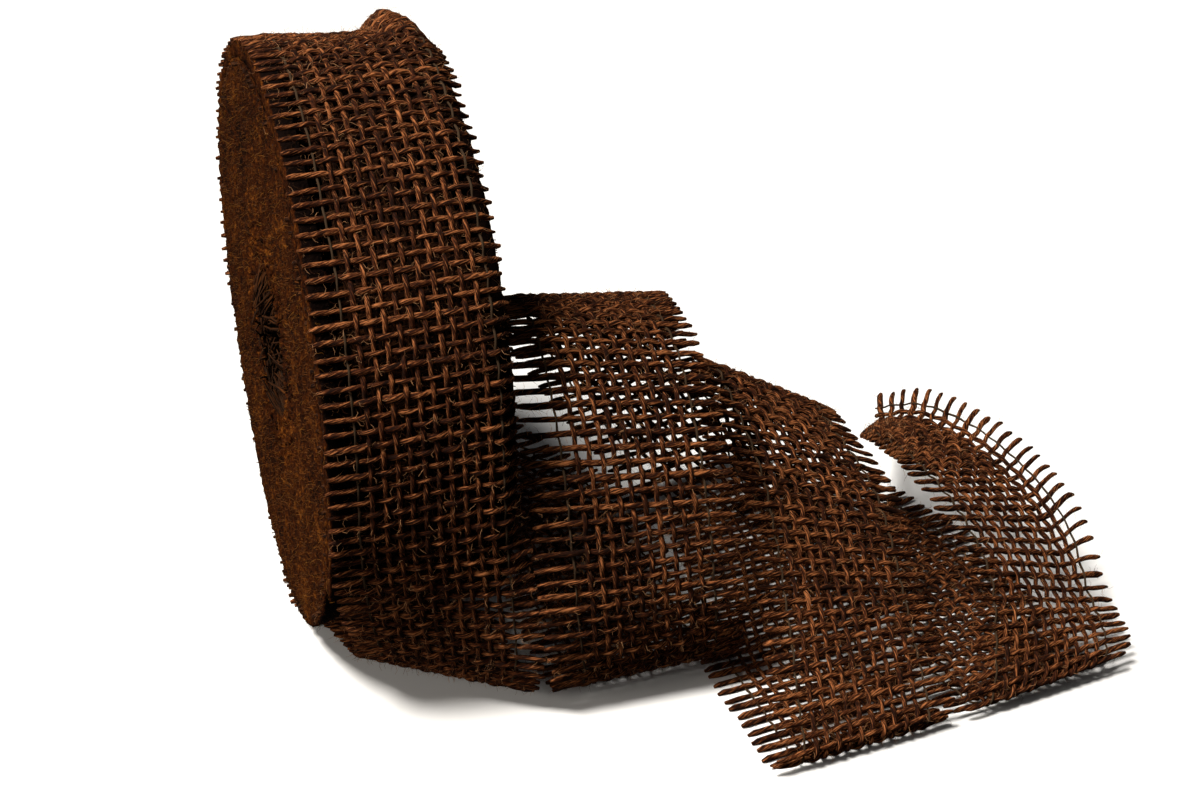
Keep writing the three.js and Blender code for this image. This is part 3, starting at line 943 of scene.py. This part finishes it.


# %% [markdown]
# ## Felt finish
# The matted fringe is as fine as felt. Its colour is fine noise over coarser tufts, with painted
# light and shade from the relief: lighter on the lumps and nearly black in the pits. The rim and
# the slack fringe's back are painted nearly black as shade. A bump comes from the same noise. The
# tufts and fibres that are set on it later break up its outline.

# %% Felt
# nearly black colour of painted shade in pits, on the rim and on the strands over the core
PAINTED_SHADE_COLOUR = (0.0035, 0.0011, 0.0005, 1.0)
FELT_DARK = (0.005, 0.0012, 0.0002, 1.0)
FELT_BODY = (0.031, 0.0066, 0.0005, 1.0)
FELT_LIGHT = (0.15, 0.044, 0.005, 1.0)


def felt_material(name):
    """Matted fringe ends: short fibres in every direction, with painted shade in grooves and pits and painted
    light on lumps.
    """
    material, w, shader = new_material(name)
    place = w.add("ShaderNodeTexCoord").outputs["Object"]
    relief = w.add("ShaderNodeAttribute", attribute_name="relief").outputs["Fac"]
    hairs = w.noise(place, 1500.0, 4.0)
    tufts = w.noise(place, 420.0, 3.0)
    patches = w.noise(place, 60.0, 2.0)
    level = w.plus(w.plus(w.times(hairs, 1.5), w.times(tufts, 1.8)), w.plus(w.times(patches, 1.3), 0.5))
    # painted light and shade: lighter on the lumps of the relief, darker in its grooves
    level = w.plus(level, w.times(relief, 300.0))
    dark = colour_mix(w, w.ramp(level, 0.05, 0.6), FELT_DARK, FELT_BODY)
    lit = colour_mix(w, w.ramp(level, 0.55, 1.3), dark, FELT_LIGHT)
    # painted shade: nearly black in the pits and on parts that carry the made-up shade depth
    painted_shade_mask = w.ramp(relief, -1.6 * MM, -0.5 * MM)
    height = w.plus(hairs, w.times(tufts, 1.4))
    bump = w.add("ShaderNodeBump", {"Height": height, "Distance": 0.6 * MM, "Strength": 0.9})
    w.fill(shader.inputs["Base Color"], colour_mix(w, painted_shade_mask, PAINTED_SHADE_COLOUR, lit))
    w.fill(shader.inputs["Normal"], bump.outputs[0])
    w.fill(shader.inputs["Roughness"], w.minus(0.92, w.times(hairs, 0.2)))
    shader.inputs["Specular IOR Level"].default_value = 0.05
    return material


felt = felt_material("matted_fringe")
packed_turns.data.materials.append(felt)
slack_fringe.data.materials.append(felt)
print("felt finish:", len(felt.node_tree.nodes), "nodes")

# %% [markdown]
# ## Fringe ends on the roll's two faces
# Every pick of every turn ends at the face. A flat spiral with one turn of it for each turn of
# ribbon is cut into short steps, and a small tuft of three fine strands stands on each step,
# leaning its own way. The tufts are built flat on the ground, with the roll's axis along Z, and
# then turned to face left or right. The same tree makes the longer strands that lean in over the
# core; their darker finish is painted shade of the bore.


# %% Tufts
STRAND_RUN = 4 * MM
STRAND_SIDES = 3
STRAND_SPREADS = (0.34, -0.3, 0.05)


def tapered_strand(w, length, thickness, spread):
    """One bent strand that gets thinner toward its tip."""
    rise = w.xyz(w.times(length, 0.1 * spread), 0.0, w.times(length, 0.5))
    peak = w.xyz(w.times(length, spread), w.times(length, -0.15), length)
    bend = w.add("GeometryNodeCurveQuadraticBezier", {
        "Resolution": 3, "Start": (0, 0, 0), "Middle": rise, "End": peak}).outputs[0]
    circle = w.add("GeometryNodeCurvePrimitiveCircle", {"Resolution": STRAND_SIDES, "Radius": 1.0}).outputs[0]
    share = w.add("GeometryNodeSplineParameter").outputs["Factor"]
    radius = w.times(w.times(thickness, 0.5), w.minus(1.0, w.times(share, 0.6)))
    section = w.store(circle, "around", w.position(), kind="FLOAT_VECTOR")
    marked = w.store(bend, "along", w.times(share, STRAND_RUN))
    inputs = {"Curve": marked, "Profile Curve": section, "Scale": radius, "Fill Caps": True}
    return w.add("GeometryNodeCurveToMesh", inputs).outputs[0]


def make_tuft_tree():
    sockets = [
        ("Inner Radius", "Float", 0.025), ("Outer Radius", "Float", 0.07), ("Turns", "Float", 29.0),
        ("Spacing", "Float", WEFT_PITCH), ("Length", "Float", 0.004), ("Thickness", "Float", 0.001),
        ("Inward Lean", "Float", 0.0), ("Scatter", "Float", 0.55), ("Seed", "Int", 1),
        ("Material", "Material", None),
    ]
    w, g, result = new_geometry_tree("fringe tufts", sockets)
    spiral = w.add("GeometryNodeCurveSpiral", {
        "Resolution": 48, "Rotations": g["Turns"], "Start Radius": g["Inner Radius"],
        "End Radius": g["Outer Radius"], "Height": 0.0}).outputs[0]
    spots = w.add("GeometryNodeResampleCurve", {"Curve": spiral, "Length": g["Spacing"]},
                  mode="LENGTH").outputs[0]
    strands = w.add("GeometryNodeJoinGeometry")
    place = w.parts(w.position())
    heading = w.plus(w.math("ARCTAN2", place[1], place[0]), -math.pi / 2)
    index = w.index()
    for number, spread in enumerate(STRAND_SPREADS):
        seed = w.plus(g["Seed"], number * 10.0)
        strand = tapered_strand(w, g["Length"], g["Thickness"], spread)
        tilt = w.plus(g["Inward Lean"], w.times(chance(w, -1.0, 1.0, index, seed), g["Scatter"]))
        sway = w.times(chance(w, -1.0, 1.0, index, w.plus(seed, 1.0)), g["Scatter"])
        lean = w.add("FunctionNodeEulerToRotation", {0: w.xyz(tilt, sway, 0.0)}).outputs[0]
        facing = w.add("FunctionNodeEulerToRotation", {0: w.xyz(0.0, 0.0, heading)}).outputs[0]
        turned = w.add("FunctionNodeRotateRotation", {"Rotation": facing, "Rotate By": lean},
                       rotation_space="LOCAL").outputs[0]
        size = chance(w, 0.6, 1.2, index, w.plus(seed, 3.0))
        copies = w.add("GeometryNodeInstanceOnPoints", {
            "Points": spots, "Instance": strand, "Rotation": turned,
            "Scale": w.xyz(size, size, size)}).outputs[0]
        tone = chance(w, 0.2, 1.0, index, w.plus(seed, 4.0))
        w.fill(strands.inputs[0], w.store(copies, "tone", tone, domain="INSTANCE"))
    rounded = w.add("GeometryNodeSetShadeSmooth", {"Geometry": strands.outputs[0]}).outputs[0]
    real = w.add("GeometryNodeRealizeInstances", {"Geometry": rounded}).outputs[0]
    w.fill(result, w.add("GeometryNodeSetMaterial", {"Geometry": real, "Material": g["Material"]}).outputs[0])
    return w.tree


tuft_tree = make_tuft_tree()
print("tuft tree:", len(tuft_tree.nodes), "nodes")


# %% Fringe ends
def turned_to_side(made, side, sunk):
    """Turns a mesh built along Z to stand on the roll's left (-1) or right (+1) end."""
    points = np.zeros(len(made.data.vertices) * 3, np.float32)
    made.data.vertices.foreach_get("co", points)
    points = points.reshape(-1, 3)
    base = end_place(side, np.hypot(points[:, 0], points[:, 1])) - sunk
    turned = np.stack([side * (points[:, 2] + base), points[:, 0], points[:, 1] * -side], 1)
    made.data.vertices.foreach_set("co", (turned + [0, 0, AXIS_HEIGHT]).astype(np.float32).ravel())
    made.data.update()


fringe_end = jute_material("jute_fringe_end", FELT_DARK, (0.06, 0.019, 0.0038, 1.0), FELT_LIGHT, bump=0.2)
# the strands over the core get a darker copy of the fringe finish: painted shade of the bore
shaded_end = jute_material("jute_fringe_over_core", PAINTED_SHADE_COLOUR, (0.02, 0.0055, 0.0009, 1.0),
                           (0.075, 0.022, 0.003, 1.0), bump=0.2)
TUFTS_INNER, TUFTS_OUTER = PACK_INNER + 8 * MM, FACE_OUTER - 0.5 * MM
TUFT_LENGTH, TUFT_SHOWING = 2.3 * MM, 0.5 * MM
CORE_STRAND_LENGTH, CORE_STRAND_SUNK = 9 * MM, 2 * MM
end_pieces = []
for label, side in (("left", -1), ("right", 1)):
    ends = run_tree(tuft_tree, f"fringe_ends_{label}", carrier, {
        "Inner Radius": TUFTS_INNER, "Outer Radius": TUFTS_OUTER,
        "Turns": (TUFTS_OUTER - TUFTS_INNER) / LAYER_PITCH, "Spacing": WEFT_PITCH * 0.8,
        "Length": TUFT_LENGTH, "Thickness": 0.5 * MM, "Inward Lean": 0.0, "Scatter": 0.6,
        "Seed": 40 + side, "Material": fringe_end})
    turned_to_side(ends, side, TUFT_LENGTH - TUFT_SHOWING)
    over_core = run_tree(tuft_tree, f"fringe_over_core_{label}", carrier, {
        "Inner Radius": LIP_INNER + 0.5 * MM, "Outer Radius": PACK_INNER, "Turns": 3.0,
        "Spacing": WEFT_PITCH * 0.9, "Length": CORE_STRAND_LENGTH, "Thickness": 1.0 * MM,
        "Inward Lean": 1.25, "Scatter": 0.3, "Seed": 50 + side, "Material": shaded_end})
    turned_to_side(over_core, side, CORE_STRAND_SUNK)
    end_pieces += [ends, over_core]
    print(label, "end:", triangle_count(ends), "+", triangle_count(over_core), "triangles")

# %% [markdown]
# ## Stray fibres
# Jute is never smooth: short fibres stand off every yarn. Points are scattered over a finished
# piece, and a thin bent fibre is set on each, leaning at random. The same tree serves the cloth
# and the felted faces, with its own density, length and seed.


# %% Fibre tree
FIBRE_THICKNESS = 0.08 * MM
FIBRE_LOWEST = 0.1 * MM


def make_fibre_tree():
    sockets = [
        ("Density", "Float", 1e5), ("Length", "Float", 0.003), ("Thickness", "Float", 0.0001),
        ("Lowest Lean", "Float", 0.5), ("Seed", "Int", 1), ("Material", "Material", None),
    ]
    w, g, result = new_geometry_tree("stray fibres", sockets)
    spread = w.add("GeometryNodeDistributePointsOnFaces", {
        "Mesh": g["Geometry"], "Density": g["Density"], "Seed": g["Seed"]})
    middle = w.xyz(w.times(g["Length"], 0.1), 0.0, w.times(g["Length"], 0.55))
    end = w.xyz(w.times(g["Length"], 0.5), w.times(g["Length"], 0.25), w.times(g["Length"], 0.7))
    bend = w.add("GeometryNodeCurvePrimitiveBezierSegment", {
        "Resolution": 2, "Start": (0, 0, 0), "Start Handle": middle, "End Handle": middle,
        "End": end}).outputs[0]
    circle = w.add("GeometryNodeCurvePrimitiveCircle", {"Resolution": 3, "Radius": 1.0}).outputs[0]
    share = w.add("GeometryNodeSplineParameter").outputs["Factor"]
    radius = w.times(w.times(g["Thickness"], 0.5), w.minus(1.0, w.times(share, 0.6)))
    inputs = {"Curve": bend, "Profile Curve": circle, "Scale": radius, "Fill Caps": True}
    fibre = w.add("GeometryNodeCurveToMesh", inputs).outputs[0]
    index = w.index()
    lean = w.xyz(chance(w, g["Lowest Lean"], 1.45, index, w.plus(g["Seed"], 1.0)), 0.0, 0.0)
    spin = w.xyz(0.0, 0.0, chance(w, 0.0, 6.28, index, w.plus(g["Seed"], 2.0)))
    leaning = w.add("FunctionNodeRotateRotation", {
        "Rotation": w.add("FunctionNodeEulerToRotation", {0: lean}).outputs[0],
        "Rotate By": w.add("FunctionNodeEulerToRotation", {0: spin}).outputs[0]}).outputs[0]
    turned = w.add("FunctionNodeRotateRotation", {
        "Rotation": spread.outputs["Rotation"], "Rotate By": leaning}, rotation_space="LOCAL").outputs[0]
    size = chance(w, 0.35, 1.3, index, w.plus(g["Seed"], 3.0))
    copies = w.add("GeometryNodeInstanceOnPoints", {
        "Points": spread.outputs["Points"], "Instance": fibre, "Rotation": turned,
        "Scale": w.xyz(size, size, size)}).outputs[0]
    tone = chance(w, 0.0, 1.0, index, w.plus(g["Seed"], 4.0))
    toned = w.store(copies, "tone", tone, domain="INSTANCE")
    real = w.add("GeometryNodeRealizeInstances", {"Geometry": toned}).outputs[0]
    parts = w.parts(w.position())
    above = w.xyz(parts[0], parts[1], w.math("MAXIMUM", parts[2], FIBRE_LOWEST))
    lifted = w.add("GeometryNodeSetPosition", {"Geometry": real, "Position": above}).outputs[0]
    finished = w.add("GeometryNodeSetMaterial", {"Geometry": lifted, "Material": g["Material"]})
    w.fill(result, finished.outputs[0])
    return w.tree


fibre_tree = make_fibre_tree()
print("fibre tree:", len(fibre_tree.nodes), "nodes")


# %% Stray fibre finish
def stray_fibre_material(name, dark, light):
    material, w, shader = new_material(name)
    tone = w.add("ShaderNodeAttribute", attribute_name="tone").outputs["Fac"]
    colour = colour_mix(w, w.ramp(tone, 0.25, 1.0), dark, light)
    w.fill(shader.inputs["Base Color"], colour)
    w.fill(shader.inputs["Roughness"], w.minus(0.7, w.times(tone, 0.25)))
    shader.inputs["Specular IOR Level"].default_value = 0.15
    return material


stray_fibre = stray_fibre_material(
    "jute_stray_fibre", (0.05, 0.014, 0.004, 1.0), (0.58, 0.29, 0.13, 1.0))
felt_fibre = stray_fibre_material(
    "matted_stray_fibre", (0.025, 0.0068, 0.0006, 1.0), (0.22, 0.082, 0.008, 1.0))


def add_fibres(source, count, length, lean, seed, finish=stray_fibre):
    """About count stray fibres on a piece, as a piece of their own."""
    area = sum(face.area for face in source.data.polygons)
    made = run_tree(fibre_tree, f"{source.name}_fibres", source, {
        "Density": count / area, "Length": length, "Thickness": FIBRE_THICKNESS, "Lowest Lean": lean,
        "Seed": seed, "Material": finish})
    print(made.name, triangle_count(made), "triangles")
    return made


fibre_pieces = {}
for number, name in enumerate(woven):
    fibre_pieces[name] = add_fibres(woven[name][0], 12000, 2.2 * MM, 0.3, 60 + number)
fibre_pieces["turn_beneath"] = add_fibres(turn_beneath, 3000, 2.2 * MM, 0.5, 71)
fibre_pieces["packed_turns"] = add_fibres(packed_turns, 12500, 1.9 * MM, 0.2, 72, felt_fibre)
fibre_pieces["slack_fringe"] = add_fibres(slack_fringe, 8000, 2.2 * MM, 0.2, 73, felt_fibre)

# %% [markdown]
# ## Core and tape
# The cardboard tube is wound from two plies of grey-brown board, and a strip of tape holds the
# ribbon's first end to it. Their shapes are right as they stand, so they only get their finish:
# a board with a fine grain and a helical seam, and a thin satin film.

# %% Board finish
SEAM_LEAD = 60 * MM


def board_material():
    material, w, shader = new_material("greyboard_ply")
    place = w.add("ShaderNodeTexCoord").outputs["Object"]
    parts = w.parts(place)
    lengthened = w.xyz(w.times(parts[0], 160.0), w.times(parts[1], 900.0), w.times(parts[2], 900.0))
    grain = w.noise(lengthened, 1.0, 4.0)
    flecks = w.noise(place, 700.0, 3.0)
    turn = w.math("ARCTAN2", parts[1], w.minus(parts[2], AXIS_HEIGHT))
    helix = w.math("FRACT", w.plus(w.over(parts[0], SEAM_LEAD), w.over(turn, 2 * math.pi)))
    seam = w.math("LESS_THAN", w.math("ABSOLUTE", w.minus(helix, 0.5)), 0.008)
    level = w.plus(w.plus(w.times(grain, 0.6), w.times(flecks, 0.8)), 0.5)
    board = colour_mix(w, level, (0.045, 0.026, 0.013, 1.0), (0.1, 0.062, 0.032, 1.0))
    w.fill(shader.inputs["Base Color"], colour_mix(w, seam, board, (0.02, 0.012, 0.007, 1.0)))
    height = w.minus(w.plus(grain, flecks), seam)
    bump = w.add("ShaderNodeBump", {"Height": height, "Distance": 0.1 * MM, "Strength": 0.4})
    w.fill(shader.inputs["Normal"], bump.outputs[0])
    shader.inputs["Roughness"].default_value = 0.88
    return material


def tape_material():
    material, w, shader = new_material("tape_film")
    cloudy = w.noise(w.add("ShaderNodeTexCoord").outputs["Object"], 220.0, 3.0)
    tint = colour_mix(w, w.plus(cloudy, 0.5), (0.5, 0.42, 0.28, 1.0), (0.68, 0.62, 0.48, 1.0))
    w.fill(shader.inputs["Base Color"], tint)
    w.fill(shader.inputs["Roughness"], w.plus(0.35, w.times(cloudy, 0.3)))
    shader.inputs["Coat Weight"].default_value = 0.3
    return material


def refinish(node, material):
    """Gives a carried-over node of the frame a finish of this scene."""
    frame["nodes"][node].data.materials.clear()
    frame["nodes"][node].data.materials.append(material)


board, tape_film = board_material(), tape_material()
refinish("core_inner_ply", board)
refinish("core_outer_ply", board)
refinish("start_tape", tape_film)
print("board finish:", len(board.node_tree.nodes), "nodes; tape finish:", len(tape_film.node_tree.nodes))

# %% [markdown]
# ## Putting it on the frame
# The slack turn and the loose loops belong to the body that stays on the table. The winding, its
# fringe ends and its stray fibres turn with the core.

# %% Ride and replace
for helper in (guide, beneath_guide, carrier):
    bpy.data.objects.remove(helper)

for name, (cloth, run) in woven.items():
    trimmings = [fibre_pieces[name]]
    if name == "outer_turn":
        trimmings += [slack_fringe, fibre_pieces["slack_fringe"]]
    for piece in (cloth, *trimmings):
        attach(piece, "ribbon")
    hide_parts(*SECTION_NODES[name])

on_the_roll = [turn_beneath, packed_turns, *end_pieces]
on_the_roll += [fibre_pieces["turn_beneath"], fibre_pieces["packed_turns"]]
for piece in on_the_roll:
    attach(piece, "roll")
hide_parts("wound_outer")
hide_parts("wound_innermost", "wound_inner", "wound_middle")
print("triangles in all:", sum(triangle_count(piece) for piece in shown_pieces()))
